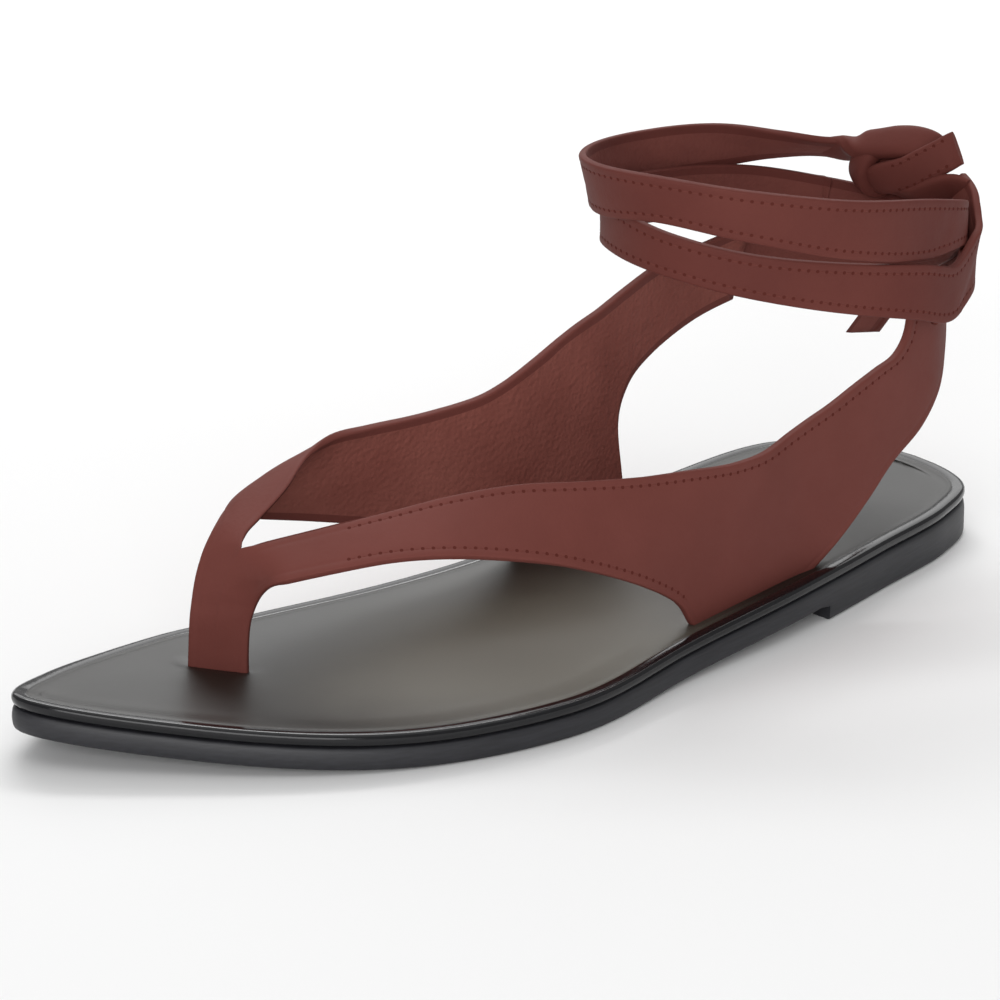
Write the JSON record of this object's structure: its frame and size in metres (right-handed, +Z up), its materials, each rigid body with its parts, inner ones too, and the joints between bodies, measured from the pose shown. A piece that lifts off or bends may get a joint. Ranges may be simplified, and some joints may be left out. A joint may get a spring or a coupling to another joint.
{
  "type": "lace-up flat sandal",
  "caption": "Flat thong sandal for the left foot: a toe post splits into leather wings that rise to straps wound round the ankle and knotted behind it.",
  "frame": {"origin": "middle of the sole's bounding box, on the floor the shoe stands on", "axes": "-Y towards the toe, +X towards the outer side of the foot, +Z up"},
  "size_m": [0.0912, 0.258, 0.1057],
  "materials": {
    "brown_leather": "soft grained leather, satin",
    "black_footbed_leather": "smooth leather, satin",
    "black_sole": "matt"
  },
  "bodies": {
    "root": {"outsole": "black_sole", "heel": "black_sole", "insole": "black_footbed_leather", "upper": "brown_leather", "ankle_tie_inner": "brown_leather", "ankle_tie_outer": "brown_leather", "knot": "brown_leather", "tie_end": "brown_leather"}
  },
  "joints": []
}
